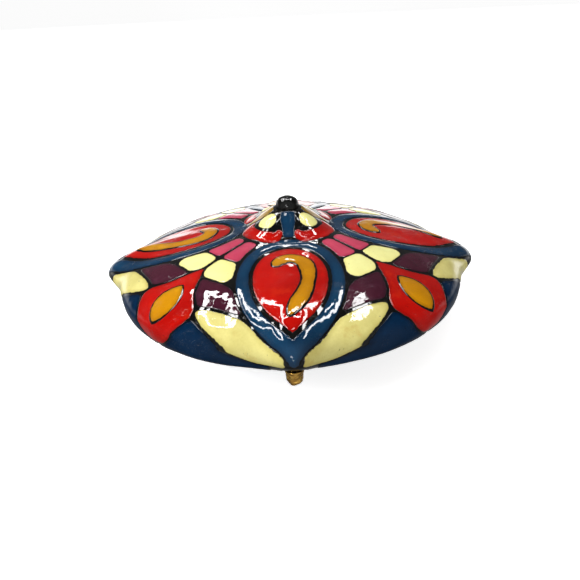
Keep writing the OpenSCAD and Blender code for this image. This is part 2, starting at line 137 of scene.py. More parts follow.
def lumps(p, size, seed):
    """Smooth hand-made unevenness, about -1 to 1, with waves about size mm long."""
    rng = np.random.default_rng(seed)
    total = np.zeros(len(p))
    for _ in range(9):
        way = rng.normal(size=3)
        way *= 2 * math.pi / (size * rng.uniform(0.7, 1.6) * np.linalg.norm(way))
        total += np.sin(p @ way + rng.uniform(0, 2 * math.pi))
    return total / 4.5


def over(plan, h):
    """Points in mm at height h over the finished surface at plan places."""
    a = np.degrees(np.arctan2(plan[:, 1], plan[:, 0]))
    u = np.hypot(plan[:, 0], plan[:, 1]) * TIP_R / edge_r(a)
    base = lid_point(u, a)
    return base + h[:, None] * lid_normal(u, a)


# ---------------------------------------------------------------------------
# Outlines in plan
# ---------------------------------------------------------------------------


def spin(plan, a):
    c, s = math.cos(math.radians(a)), math.sin(math.radians(a))
    return np.asarray(plan) @ np.array([[c, s], [-s, c]])


def flip(plan):
    return np.asarray(plan) * [1, -1]


def distance_along(line):
    return np.concatenate([[0], np.cumsum(np.linalg.norm(np.diff(line, axis=0), axis=1))])


def even_steps(outline, n):
    """n points spaced evenly along a closed outline."""
    line = np.asarray(outline, float)
    line = np.vstack([line, line[:1]])
    run = distance_along(line)
    at = np.linspace(0, run[-1], n + 1)[:-1]
    return np.stack([np.interp(at, run, line[:, i]) for i in (0, 1)], -1)


def soften(corners, reach, n):
    """A closed outline of n points whose corners are rounded over reach, a plan length."""
    corners = np.asarray(corners, float)
    out = []
    for before, at, after in zip(np.roll(corners, 1, 0), corners, np.roll(corners, -1, 0)):
        start, end = before - at, after - at
        start *= min(0.5, reach / np.linalg.norm(start))
        end *= min(0.5, reach / np.linalg.norm(end))
        for t in np.linspace(0, 1, 9):
            out.append(at + start * (1 - t) ** 2 + end * t ** 2)
    return even_steps(out, n)


def smooth_line(points, n):
    """n points, closest at the ends, along a Catmull-Rom curve through rows of numbers."""
    p = np.asarray(points, float)
    p = np.vstack([2 * p[0] - p[1], p, 2 * p[-1] - p[-2]])
    out = []
    for i in range(1, len(p) - 2):
        a, b, c, d = p[i - 1:i + 3]
        for t in np.linspace(0, 1, 24, endpoint=False):
            out.append(0.5 * (2 * b + (c - a) * t + (2 * a - 5 * b + 4 * c - d) * t * t
                              + (3 * b - 3 * c + d - a) * t ** 3))
    out.append(p[-2])
    out = np.array(out)
    run = distance_along(out[:, :2])
    at = run[-1] * (1 - np.cos(np.linspace(0, math.pi, n))) / 2
    return np.stack([np.interp(at, run, out[:, k]) for k in range(out.shape[1])], -1)


def teardrop(inner, widest, tip, half, n=200):
    """Closed outline of a teardrop along +X, as in the CAD source."""
    t = np.linspace(0, 1, n // 2 + 1)
    s = np.clip(2 * t - 1, 0, 1)
    x = np.where(t < 0.5, widest - (widest - inner) * np.cos(math.pi * t),
                 widest + (tip - widest) * s)
    y = np.where(t < 0.5, half * np.sin(math.pi * t), half * (1 - s ** 2.1))
    side = np.stack([x, y], -1)
    return np.vstack([side, flip(side[-2:0:-1])])


def eased(outline):
    """A closed outline with its corners worn off."""
    for _ in range(2):
        outline = (np.roll(outline, 2, 0) + np.roll(outline, 1, 0) + outline
                   + np.roll(outline, -1, 0) + np.roll(outline, -2, 0)) / 5
    return outline


def grown(outline, by):
    """A closed outline moved outward by a plan length."""
    along = np.roll(outline, -1, 0) - np.roll(outline, 1, 0)
    along /= np.maximum(np.linalg.norm(along, axis=1, keepdims=True), 1e-9)
    following = np.roll(outline, -1, 0)
    turning = (outline[:, 0] * following[:, 1] - outline[:, 1] * following[:, 0]).sum()
    return outline + np.stack([along[:, 1], -along[:, 0]], -1) * by * math.copysign(1, turning)


def line_gap(places, outline):
    """Distance in mm from plan places to a closed outline."""
    a = outline
    b = np.roll(outline, -1, 0)
    ab = b - a
    length2 = np.maximum((ab ** 2).sum(1), 1e-14)
    best = np.full(len(places), 1e9)
    for start in range(0, len(places), 4000):
        p = places[start:start + 4000, None, :]
        t = np.clip(((p - a) * ab).sum(-1) / length2, 0, 1)
        gap = np.linalg.norm(p - (a + t[..., None] * ab), axis=-1)
        best[start:start + 4000] = gap.min(1)
    return best * TIP_R


# ---------------------------------------------------------------------------
# Cells: pillow-topped plates over the surface
# ---------------------------------------------------------------------------


class Form:
    """How a cell stands: its foot, its top, the rounding of its edge and its crown, all in mm."""

    def __init__(self, foot, top, rounding, crown):
        self.foot, self.top, self.rounding, self.crown = foot, top, rounding, crown

    def height(self, d):
        edge = np.clip(1 - d / self.rounding, 0, 1)
        middle = np.clip(1 - d / max(d.max(), 1e-6), 0, 1)
        return (self.foot + (self.top - self.foot) * np.sqrt(1 - edge ** 2.2)
                + self.crown * (1 - middle ** 2))


def cell_top(plan, d, form, seed):
    """The top of a cell at plan places that are d mm from its edge."""
    h = form.height(d)
    top = over(plan, h)
    wave = SWELL * lumps(top, SWELL_MM, SWELL_SEED) + RIPPLE * lumps(top, RIPPLE_MM, seed)
    return over(plan, h + wave * np.clip(d / CALM_EDGE, 0, 1))


def star_cell(outline, centre, form, seed=1, rings=16):
    """Points, faces and distances from the edge of a cell whose outline is in sight of its centre."""
    outline = grown(outline, GROW)
    n = len(outline)
    reach = 1 - np.linspace(0, 1, rings + 1)[:-1] ** 1.7
    plan = np.concatenate([centre + (outline - centre) * t for t in reach] + [np.array([centre])])
    d = line_gap(plan, outline)
    top = cell_top(plan, d, form, seed)
    foot = over(outline, np.full(n, form.foot - ROOT))
    under = over(np.array([centre]), np.array([form.foot - 2 * ROOT]))
    verts = np.vstack([top, foot, under])
    mid, base, low = rings * n, rings * n + 1, rings * n + 1 + n
    faces = []
    for k in range(rings - 1):
        faces += [(k * n + i, k * n + (i + 1) % n, (k + 1) * n + (i + 1) % n, (k + 1) * n + i)
                  for i in range(n)]
    last = (rings - 1) * n
    faces += [(last + i, last + (i + 1) % n, mid) for i in range(n)]
    faces += [(base + i, base + (i + 1) % n, (i + 1) % n, i) for i in range(n)]
    faces += [(base + (i + 1) % n, base + i, low) for i in range(n)]
    return verts, faces, np.concatenate([d, np.zeros(n + 1)])


def strip_cell(side_a, side_b, form, seed=1, across=14, ring=False):
    """A cell between two lines of as many points, closed on itself if ring is true."""
    n = len(side_a)
    share = (1 - np.cos(np.linspace(0, math.pi, across + 1))) / 2
    cols = across + 1
    plan = side_a[:, None] * (1 - share[None, :, None]) + side_b[:, None] * share[None, :, None]
    plan = plan.reshape(-1, 2)
    if ring:
        d = np.minimum(line_gap(plan, side_a), line_gap(plan, side_b))
    else:
        d = line_gap(plan, np.vstack([side_a, side_b[::-1]]))
    top = cell_top(plan, d, form, seed)
    below = over(plan, np.full(len(plan), form.foot - ROOT))
    verts = np.vstack([top, below])
    drop = len(top)
    faces = []
    steps = n if ring else n - 1
    for i in range(steps):
        j = (i + 1) % n
        for k in range(across):
            quad = (i * cols + k, j * cols + k, j * cols + k + 1, i * cols + k + 1)
            faces.append(quad)
            faces.append(tuple(v + drop for v in reversed(quad)))
        faces.append((i * cols + drop, j * cols + drop, j * cols, i * cols))
        faces.append((i * cols + across, j * cols + across, j * cols + across + drop,
                      i * cols + across + drop))
    if not ring:
        last = (n - 1) * cols
        for k in range(across):
            faces.append((k + drop, k, k + 1, k + 1 + drop))
            faces.append((last + k, last + k + drop, last + k + 1 + drop, last + k + 1))
    return verts, faces, np.concatenate([d, np.zeros(len(below))])


def ribbon(points, n, grow=0.0):
    """The two sides of a stroke given as rows of place and half width. Its ends are round."""
    line = smooth_line(points, n)
    way = np.gradient(line[:, :2], axis=0)
    way /= np.maximum(np.linalg.norm(way, axis=1, keepdims=True), 1e-12)
    side = np.stack([-way[:, 1], way[:, 0]], -1)
    run = distance_along(line[:, :2])
    half = line[:, 2] + grow
    ends = np.minimum(run, run[-1] - run)
    cap = np.clip(ends / np.maximum(half, 1e-6), 0, 1)
    half = half * np.sqrt(np.clip(1 - (1 - cap) ** 2, 0.0004, 1))
    return line[:, :2] + side * half[:, None], line[:, :2] - side * half[:, None]


def joined(cells):
    """Several cells as one set of points, faces and distances from the edge."""
    verts, faces, edge, start = [], [], [], 0
    for v, f, e in cells:
        verts.append(v)
        edge.append(e)
        faces += [tuple(i + start for i in face) for face in f]
        start += len(v)
    return np.vstack(verts), faces, np.concatenate(edge)


def mesh_piece(name, verts, faces, material, body, edge=None):
    """A smooth piece from points in mm. Its edge distances, if given, are kept for the glaze."""
    mesh = bpy.data.meshes.new(name)
    mesh.from_pydata((np.asarray(verts) * MM).tolist(), [], faces)
    mesh.validate()
    if edge is not None:
        kept = mesh.attributes.new("edge", "FLOAT", "POINT")
        kept.data.foreach_set("value", edge.astype(np.float32))
    mesh.polygons.foreach_set("use_smooth", [True] * len(mesh.polygons))
    mesh.materials.append(material)
    piece = bpy.data.objects.new(name, mesh)
    bpy.context.scene.collection.objects.link(piece)
    turn_outward(piece)
    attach(piece, body)
    return piece


def turn_outward(piece):
    """Turns every face's front to the outside."""
    work = bmesh.new()
    work.from_mesh(piece.data)
    bmesh.ops.recalc_face_normals(work, faces=work.faces)
    work.to_mesh(piece.data)
    work.free()


def inlay(name, node, cells, material):
    verts, faces, edge = joined(cells)
    piece = mesh_piece(name, verts, faces, material, "lid", edge)
    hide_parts(node)
    return piece


# ---------------------------------------------------------------------------
# Materials
# ---------------------------------------------------------------------------


def srgb(r, g, b):
    def linear(v):
        v /= 255
        return v / 12.92 if v <= 0.04045 else ((v + 0.055) / 1.055) ** 2.4
    return (linear(r), linear(g), linear(b), 1.0)


def set_range(node, low, high, to_low, to_high):
    for key, number in (("From Min", low), ("From Max", high), ("To Min", to_low), ("To Max", to_high)):
        node.inputs[key].default_value = number


class Nodes:
    """A material's node tree, with short calls for the nodes used here."""

    def __init__(self, name):
        self.material = bpy.data.materials.new(name)
        self.material.use_nodes = True
        self.tree = self.material.node_tree
        self.shader = self.tree.nodes["Principled BSDF"]
        self.place = self.add("ShaderNodeTexCoord").outputs["Object"]

    def add(self, kind, **settings):
        node = self.tree.nodes.new(kind)
        for key, value in settings.items():
            setattr(node, key, value)
        return node

    def link(self, source, target):
        self.tree.links.new(source, target)

    def noise(self, per_mm, detail=3.0, roughness=0.55, stretch=None, distortion=0.0):
        place = self.place
        if stretch:
            mapping = self.add("ShaderNodeMapping")
            mapping.inputs["Rotation"].default_value = stretch[0]
            mapping.inputs["Scale"].default_value = stretch[1]
            self.link(place, mapping.inputs["Vector"])
            place = mapping.outputs["Vector"]
        node = self.add("ShaderNodeTexNoise")
        node.inputs["Scale"].default_value = per_mm / MM
        node.inputs["Detail"].default_value = detail
        node.inputs["Roughness"].default_value = roughness
        node.inputs["Distortion"].default_value = distortion
        self.link(place, node.inputs["Vector"])
        return node.outputs["Fac"]

    def ramp(self, value, low, high, to_low=0.0, to_high=1.0):
        node = self.add("ShaderNodeMapRange", interpolation_type="SMOOTHSTEP")
        set_range(node, low, high, to_low, to_high)
        self.link(value, node.inputs["Value"])
        return node.outputs["Result"]

    def mix(self, fac, a, b):
        node = self.add("ShaderNodeMix", data_type="RGBA")
        for value, socket in ((fac, node.inputs[0]), (a, node.inputs[6]), (b, node.inputs[7])):
            if isinstance(value, bpy.types.NodeSocket):
                self.link(value, socket)
            else:
                socket.default_value = value
        return node.outputs[2]

    def maths(self, kind, a, b):
        node = self.add("ShaderNodeMath", operation=kind)
        for value, socket in ((a, node.inputs[0]), (b, node.inputs[1])):
            if isinstance(value, bpy.types.NodeSocket):
                self.link(value, socket)
            else:
                socket.default_value = value
        return node.outputs[0]

    def edge(self):
        return self.add("ShaderNodeAttribute", attribute_name="edge").outputs["Fac"]

    def bump(self, height, depth_mm, before=None):
        node = self.add("ShaderNodeBump")
        node.inputs["Strength"].default_value = 1.0
        node.inputs["Distance"].default_value = depth_mm * MM
        self.link(height, node.inputs["Height"])
        if before:
            self.link(before, node.inputs["Normal"])
        return node.outputs["Normal"]

    def set(self, **values):
        for key, value in values.items():
            socket = self.shader.inputs[key.replace("_", " ")]
            if isinstance(value, bpy.types.NodeSocket):
                self.link(value, socket)
            else:
                socket.default_value = value
        return self.material


BLACK = srgb(6, 7, 8)


def clear_coat(nodes, bump, coat_bump, weight=1.0):
    return nodes.set(Roughness=nodes.ramp(nodes.noise(0.9), 0.3, 0.7, 0.34, 0.5), Normal=bump,
                     Coat_Weight=weight, Coat_Roughness=0.025, Coat_IOR=1.36, Coat_Normal=coat_bump,
                     Specular_IOR_Level=0.0)


def coat_marks(nodes, seed):
    """Bumps under and on the clear coat, and masks of its hair scratches and pin holes."""
    lumps_fac = nodes.noise(0.32, 2.0)
    fine = nodes.noise(1.3, 2.0)
    under = nodes.bump(lumps_fac, 0.05)
    coat = nodes.bump(fine, 0.009, under)
    hair = nodes.noise(0.9, 4.0, 0.6, stretch=((0.2, 0.1, seed), (0.12, 3.0, 1.0)), distortion=0.6)
    from_middle = nodes.maths("ABSOLUTE", nodes.maths("SUBTRACT", hair, 0.5), 0.0)
    scratch = nodes.ramp(from_middle, 0.0, 0.004, 1.0, 0.0)
    sparse = nodes.ramp(nodes.noise(0.22, 2.0), 0.5, 0.62)
    scratch = nodes.maths("MULTIPLY", scratch, sparse)
    pits = nodes.ramp(nodes.noise(2.6, 1.0), 0.26, 0.2)
    marks = nodes.maths("SUBTRACT", 0.0, nodes.maths("MAXIMUM", scratch, pits))
    coat = nodes.bump(marks, 0.008, coat)
    return under, coat, scratch, pits


POOL = 0.7                       # the glaze's deep edge is this wide, in mm


def glaze(name, colour, deep, warm=None, seed=0.0, line=0.03, weight=1.0):
    """A clear-coated inlay: colour in the middle, deep where it pools at the edge, dark line around."""
    nodes = Nodes(name)
    edge = nodes.edge()
    broad = nodes.ramp(nodes.noise(0.16, 3.0), 0.35, 0.68)
    tone = nodes.mix(nodes.maths("MULTIPLY", broad, 0.4), colour, deep)
    if warm:
        patches = nodes.ramp(nodes.noise(0.3, 4.0, 0.6), 0.54, 0.7)
        tone = nodes.mix(nodes.maths("MULTIPLY", patches, 0.6), tone, warm)
    pooled = nodes.ramp(edge, line, line + POOL, 0.55, 0.0)
    tone = nodes.mix(pooled, tone, deep)
    grain = nodes.ramp(nodes.noise(3.2, 4.0, 0.7), 0.3, 0.75)
    tone = nodes.mix(nodes.maths("MULTIPLY", grain, 0.18), tone, deep)
    under, coat, scratch, pits = coat_marks(nodes, seed)
    tone = nodes.mix(nodes.maths("MULTIPLY", pits, 0.5), tone, BLACK)
    tone = nodes.mix(nodes.maths("MULTIPLY", scratch, 0.12), tone, srgb(200, 200, 195))
    ragged = nodes.maths("ADD", edge, nodes.ramp(nodes.noise(1.1, 3.0), 0.3, 0.7, -0.05, 0.05))
    tone = nodes.mix(nodes.ramp(ragged, line, line + 0.1), BLACK, tone)
    nodes.set(Base_Color=tone)
    return clear_coat(nodes, under, coat, weight)


def black_ground():
    nodes = Nodes("black_ground")
    broad = nodes.ramp(nodes.noise(0.25, 4.0), 0.35, 0.7)
    tone = nodes.mix(broad, BLACK, srgb(16, 16, 15))
    under, coat, scratch, _ = coat_marks(nodes, 2.0)
    tone = nodes.mix(nodes.maths("MULTIPLY", scratch, 0.2), tone, srgb(120, 118, 110))
    nodes.set(Base_Color=tone)
    return clear_coat(nodes, under, coat)


def navy_lacquer():
    nodes = Nodes("navy_lacquer")
    broad = nodes.ramp(nodes.noise(0.14, 4.0), 0.3, 0.7)
    tone = nodes.mix(broad, srgb(5, 30, 58), srgb(2, 15, 34))
    under, coat, scratch, pits = coat_marks(nodes, 1.7)
    tone = nodes.mix(nodes.maths("MULTIPLY", scratch, 0.25), tone, srgb(120, 130, 140))
    tone = nodes.mix(nodes.maths("MULTIPLY", pits, 0.6), tone, srgb(120, 84, 40))
    nodes.set(Base_Color=tone)
    return clear_coat(nodes, under, coat)


def brass(name="brass", wear=0.5):
    nodes = Nodes(name)
    broad = nodes.ramp(nodes.noise(0.35, 5.0, 0.65), 0.38, 0.68)
    tone = nodes.mix(nodes.maths("MULTIPLY", broad, wear), srgb(226, 182, 92), srgb(140, 94, 42))
    spots = nodes.ramp(nodes.noise(1.7, 4.0, 0.7), 0.62, 0.74)
    tone = nodes.mix(nodes.maths("MULTIPLY", spots, 0.6), tone, srgb(70, 46, 24))
    brushed = nodes.noise(1.2, 5.0, 0.7, stretch=((0, 0, 0.3), (0.3, 5.0, 5.0)))
    rough = nodes.ramp(nodes.noise(0.8, 4.0), 0.3, 0.75, 0.2, 0.42)
    normal = nodes.bump(brushed, 0.006, nodes.bump(nodes.noise(0.5, 3.0), 0.03))
    return nodes.set(Base_Color=tone, Metallic=1.0, Roughness=rough, Normal=normal)


def enamel_lining():
    nodes = Nodes("cream_enamel")
    broad = nodes.ramp(nodes.noise(0.1, 4.0, 0.6), 0.3, 0.7)
    tone = nodes.mix(broad, srgb(236, 229, 204), srgb(220, 208, 176))
    specks = nodes.ramp(nodes.noise(1.5, 3.0, 0.7), 0.7, 0.76)
    tone = nodes.mix(nodes.maths("MULTIPLY", specks, 0.5), tone, srgb(120, 92, 60))
    under, coat, _, pits = coat_marks(nodes, 1.0)
    nodes.set(Base_Color=nodes.mix(nodes.maths("MULTIPLY", pits, 0.35), tone, srgb(150, 130, 96)))
    return clear_coat(nodes, under, coat)


def felt():
    nodes = Nodes("felt")
    fibres = nodes.noise(2.2, 6.0, 0.75, stretch=((0, 0, 0.5), (1.0, 2.2, 1.0)), distortion=1.2)
    tufts = nodes.noise(0.5, 4.0, 0.6)
    tone = nodes.mix(nodes.ramp(fibres, 0.3, 0.7), srgb(22, 48, 36), srgb(58, 92, 70))
    tone = nodes.mix(nodes.maths("MULTIPLY", nodes.ramp(tufts, 0.4, 0.7), 0.35), tone, srgb(80, 104, 84))
    return nodes.set(Base_Color=tone, Roughness=1.0, Normal=nodes.bump(fibres, 0.12),
                     Sheen_Weight=0.5, Sheen_Roughness=0.5, Specular_IOR_Level=0.1)


BLUE = glaze("blue_glaze", srgb(16, 60, 92), srgb(5, 24, 48), seed=0.4)
NAVY = glaze("navy_glaze", srgb(4, 40, 72), srgb(1, 14, 32), seed=1.1, weight=0.5)
RED = glaze("red_glaze", srgb(198, 14, 4), srgb(134, 3, 2), warm=srgb(204, 38, 10), seed=2.3)
OCHRE = glaze("ochre_glaze", srgb(214, 146, 4), srgb(160, 98, 2), warm=srgb(222, 162, 16), seed=0.9,
              line=0.3)
OLIVE = glaze("olive_glaze", srgb(170, 130, 26), srgb(110, 84, 16), seed=1.9)
CREAM = glaze("cream_glaze", srgb(255, 253, 172), srgb(234, 222, 132), seed=0.2)
LEAF = glaze("leaf_glaze", srgb(238, 228, 146), srgb(188, 174, 86), warm=srgb(212, 184, 96), seed=1.4)
PINK = glaze("pink_glaze", srgb(212, 78, 104), srgb(172, 46, 78), warm=srgb(196, 66, 104), seed=0.7)
PURPLE = glaze("purple_glaze", srgb(76, 26, 44), srgb(40, 12, 26), warm=srgb(88, 42, 60), seed=2.8)
GROUND_COAT = black_ground()
NAVY_LACQUER = navy_lacquer()
BRASS = brass()
THUMB_BRASS = brass("thumb_brass", 0.9)
LINING = enamel_lining()
FELT = felt()

# ---------------------------------------------------------------------------
# Inlay cells
# ---------------------------------------------------------------------------

BORDER_FORM = Form(foot=-0.12, top=-0.02, rounding=0.22, crown=0.1)
FIELD_FORM = Form(foot=-0.12, top=-0.04, rounding=0.2, crown=0.06)
CELL_FORM = Form(foot=-0.12, top=-0.04, rounding=0.16, crown=0.06)
COMMA_FORM = Form(foot=-0.06, top=0.1, rounding=0.3, crown=0.08)
CENTRE_FORM = Form(foot=-0.06, top=0.05, rounding=0.25, crown=0.06)

# A teardrop's inner end, widest place and tip, and its half width
BORDER_OUT = (0.222, 0.555, 1.02, 0.251)
FIELD = (0.312, 0.55, 0.905, 0.170)
BORDER_IN = (FIELD[0] - LINE, FIELD[1], FIELD[2] + 1.6 * LINE, FIELD[3] + LINE)
# Strokes are rows of place and half width
COMMA = [
    (0.487, -0.056, 0.026), (0.463, -0.056, 0.033), (0.425, -0.033, 0.036), (0.418, 0.018, 0.036),
    (0.452, 0.066, 0.038), (0.522, 0.082, 0.034), (0.600, 0.078, 0.027), (0.680, 0.057, 0.030),
    (0.745, 0.027, 0.031), (0.785, 0.006, 0.023), (0.815, -0.006, 0.012), (0.832, -0.014, 0.004),
]


def petals():
    for seed, (name, a) in enumerate(QUARTERS.items()):
        outer, inner = teardrop(*BORDER_OUT, 240), teardrop(*BORDER_IN, 240)
        border = strip_cell(spin(outer, a), spin(inner, a), BORDER_FORM, 20 + seed, 18, ring=True)
        inlay(f"petal_border_glaze_{name}", f"petal_border_{name}", [border], BLUE)
        outline, centre = teardrop(*FIELD, 220), (FIELD[1], 0)
        field = star_cell(spin(outline, a), spin(centre, a), FIELD_FORM, 30 + seed, 26)
        inlay(f"petal_field_glaze_{name}", f"petal_field_{name}", [field], RED)
        left, right = ribbon(COMMA, 110, grow=0.010)
        comma = strip_cell(spin(left, a), spin(right, a), COMMA_FORM, 40 + seed)
        inlay(f"petal_comma_glaze_{name}", f"petal_comma_{name}", [comma], OCHRE)


def even_outline(sides, n):
    """Closed outline from rows of place along the axis and half width."""
    line = smooth_line(sides, 60)
    return even_steps(np.vstack([line, flip(line[::-1])]), n)


# Outlines that are alike on both sides of their axis, as rows of place along it and half width
RED_DROP = [(0.585, 0.0), (0.63, 0.031), (0.665, 0.051), (0.70, 0.073), (0.73, 0.098), (0.76, 0.134),
            (0.785, 0.165), (0.815, 0.178), (0.845, 0.168), (0.88, 0.143), (0.91, 0.117), (0.94, 0.088),
            (0.965, 0.054), (0.98, 0.0)]
DROP_CENTRE = [(0.708, 0.0), (0.72, 0.019), (0.742, 0.04), (0.765, 0.056), (0.79, 0.066), (0.82, 0.069),
               (0.85, 0.063), (0.878, 0.045), (0.896, 0.022), (0.903, 0.0)]


DROP_MIDDLE = (0.81, 0)


def drops():
    for seed, (name, a) in enumerate(DIAGONALS.items()):
        middle = spin(DROP_MIDDLE, a)
        drop = star_cell(spin(even_outline(RED_DROP, 200), a), middle, CELL_FORM, 50 + seed, 26)
        inlay(f"red_drop_glaze_{name}", f"red_drop_{name}", [drop], RED)
        centre = star_cell(spin(even_outline(DROP_CENTRE, 120), a), middle, CENTRE_FORM, 60 + seed, 18)
        inlay(f"drop_centre_glaze_{name}", f"drop_centre_{name}", [centre], OCHRE)


# Cells beside a diagonal, as corners in plan with the diagonal along +X
TILE = [(0.487, 0.013), (0.583, 0.013), (0.622, 0.052), (0.606, 0.172), (0.562, 0.186), (0.513, 0.145),
        (0.474, 0.114)]
BAR = [(0.300, 0.010), (0.385, 0.011), (0.472, 0.012), (0.462, 0.113), (0.385, 0.087), (0.292, 0.070)]
PANEL = [(0.637, 0.052), (0.69, 0.087), (0.72, 0.108), (0.747, 0.147), (0.762, 0.176), (0.737, 0.240),
         (0.719, 0.308), (0.697, 0.380), (0.688, 0.372), (0.673, 0.335), (0.622, 0.250), (0.616, 0.190),
         (0.626, 0.130)]
LEAF_OUTER = [(0.782, 0.184), (0.804, 0.204), (0.821, 0.27), (0.823, 0.35), (0.811, 0.44), (0.789, 0.54)]
LEAF_INNER = [(0.724, 0.52), (0.714, 0.45), (0.713, 0.405), (0.735, 0.32), (0.753, 0.25)]
LONG_LEAF = LEAF_OUTER + [(0.768, 0.62), (0.748, 0.69), (0.728, 0.672), (0.730, 0.60)] + LEAF_INNER
SHORT_LEAF = LEAF_OUTER + [(0.776, 0.60), (0.757, 0.628), (0.738, 0.618), (0.730, 0.58)] + LEAF_INNER
RIM_TOP = [(1.004, 0.012), (0.988, 0.050), (0.960, 0.086), (0.930, 0.114), (0.898, 0.142),
           (0.860, 0.172), (0.828, 0.196), (0.833, 0.25), (0.836, 0.30), (0.835, 0.36), (0.822, 0.44),
           (0.799, 0.54), (0.778, 0.618)]
RIM_END = 1.14


def rim_outline():
    """A rim panel: its upper line, then back along the rolled underside."""
    top = smooth_line(RIM_TOP, 90)
    a = np.degrees(np.arctan2(top[:, 1], top[:, 0]))
    outward = top / np.linalg.norm(top, axis=1, keepdims=True)
    under = outward * (RIM_END * edge_r(a + 45) / TIP_R)[:, None]
    return eased(even_steps(np.vstack([top, under[::-1]]), 260))


def paired(outline, centre, form, seed, rings=16, at_sides=None):
    """A cell on both sides of every diagonal, with the outline at_sides, if given, by the side tips."""
    cells = []
    for a in DIAGONALS.values():
        for way in (1, -1):
            by_side_tip = (a + 45 * way) % 180 == 0
            shape = at_sides if by_side_tip and at_sides is not None else outline
            mirror = np.array([1, way])
            cells.append(star_cell(spin(shape * mirror, a), spin(centre * mirror, a), form, seed, rings))
            seed += 1
    return cells


def between_petals():
    tiles = paired(soften(TILE, 0.026, 120), (0.555, 0.100), CELL_FORM, 70)
    inlay("cream_tile_glaze", "cream_tiles", tiles, CREAM)
    bars = paired(soften(BAR, 0.026, 130), (0.392, 0.050), CELL_FORM, 90)
    inlay("pink_bar_glaze", "pink_bars", bars, PINK)
    panels = paired(soften(PANEL, 0.024, 170), (0.690, 0.185), CELL_FORM, 110, 20)
    inlay("purple_panel_glaze", "purple_panels", panels, PURPLE)
    leaves = paired(soften(LONG_LEAF, 0.03, 190), (0.768, 0.42), CELL_FORM, 130, 20,
                    soften(SHORT_LEAF, 0.03, 190))
    inlay("cream_leaf_glaze", "cream_leaves", leaves, LEAF)
    rims = paired(rim_outline(), (0.895, 0.34), CELL_FORM, 150, 22)
    inlay("rim_panel_glaze", "rim_panels", rims, NAVY)


OVAL_AT, OVAL_DEEP, OVAL_WIDE = 0.149, 0.042, 0.047
HALF_SHOE = [(0.153, -0.086, 0.017), (0.170, -0.098, 0.025), (0.197, -0.096, 0.032),
             (0.224, -0.063, 0.035)]
HORSESHOE = HALF_SHOE + [(0.240, 0.0, 0.036)] + [(x, -y, half) for x, y, half in reversed(HALF_SHOE)]
STEM = [(0.078, 0.032), (0.085, 0.034), (0.118, 0.036), (0.150, 0.031), (0.180, 0.027), (0.204, 0.024),
        (0.210, 0.018)]
STRIP = [(0.076, 0.034), (0.084, 0.042), (0.108, 0.050), (0.135, 0.045), (0.160, 0.030), (0.205, 0.010)]


def boss_cells():
    around = np.linspace(0, 2 * math.pi, 100, endpoint=False)
    oval = np.stack([OVAL_AT + OVAL_DEEP * np.cos(around), OVAL_WIDE * np.sin(around)], -1)
    ovals = [star_cell(spin(oval, a), spin((OVAL_AT, 0), a), CELL_FORM, 170 + a)
             for a in DIAGONALS.values()]
    inlay("boss_oval_glaze", "boss_ovals", ovals, CREAM)
    outer, inner = ribbon(HORSESHOE, 90)
    shoes = [strip_cell(spin(outer, a), spin(inner, a), CELL_FORM, 180 + a) for a in DIAGONALS.values()]
    inlay("boss_horseshoe_glaze", "boss_horseshoes", shoes, RED)
    for name, shape, angles, material, slot in (("stem", STEM, (90, 270), BLUE, "blue_inlay"),
                                                ("strip", STRIP, (0, 180), OLIVE, "olive_inlay")):
        cells = [star_cell(spin(even_outline(shape, 140), a), spin((0.135, 0), a), CELL_FORM, 190 + a)
                 for a in angles]
        inlay(f"boss_{name}_glaze", f"boss_{name}s", cells, material)


# ---------------------------------------------------------------------------
# Lid ground, knob and thumb
# ---------------------------------------------------------------------------


def grid_faces(rows, cols):
    """The faces between rows of points that each close on themselves."""
    return [(i * cols + j, i * cols + (j + 1) % cols, (i + 1) * cols + (j + 1) % cols, (i + 1) * cols + j)
            for i in range(rows - 1) for j in range(cols)]


def end_faces(first, cols, middle):
    """The faces between a row of points and the point in its middle."""
    return [(first + j, first + (j + 1) % cols, middle) for j in range(cols)]


BARREL_ROOM = (1.35, 9)          # radius and length of the cut for the hinge barrel, in mm
THUMB_ROOM = (1.75, 3)           # radius and height of the cut over the thumb
THUMB_BACK = 0.6                 # that cut's place in front of the middle of the thumb


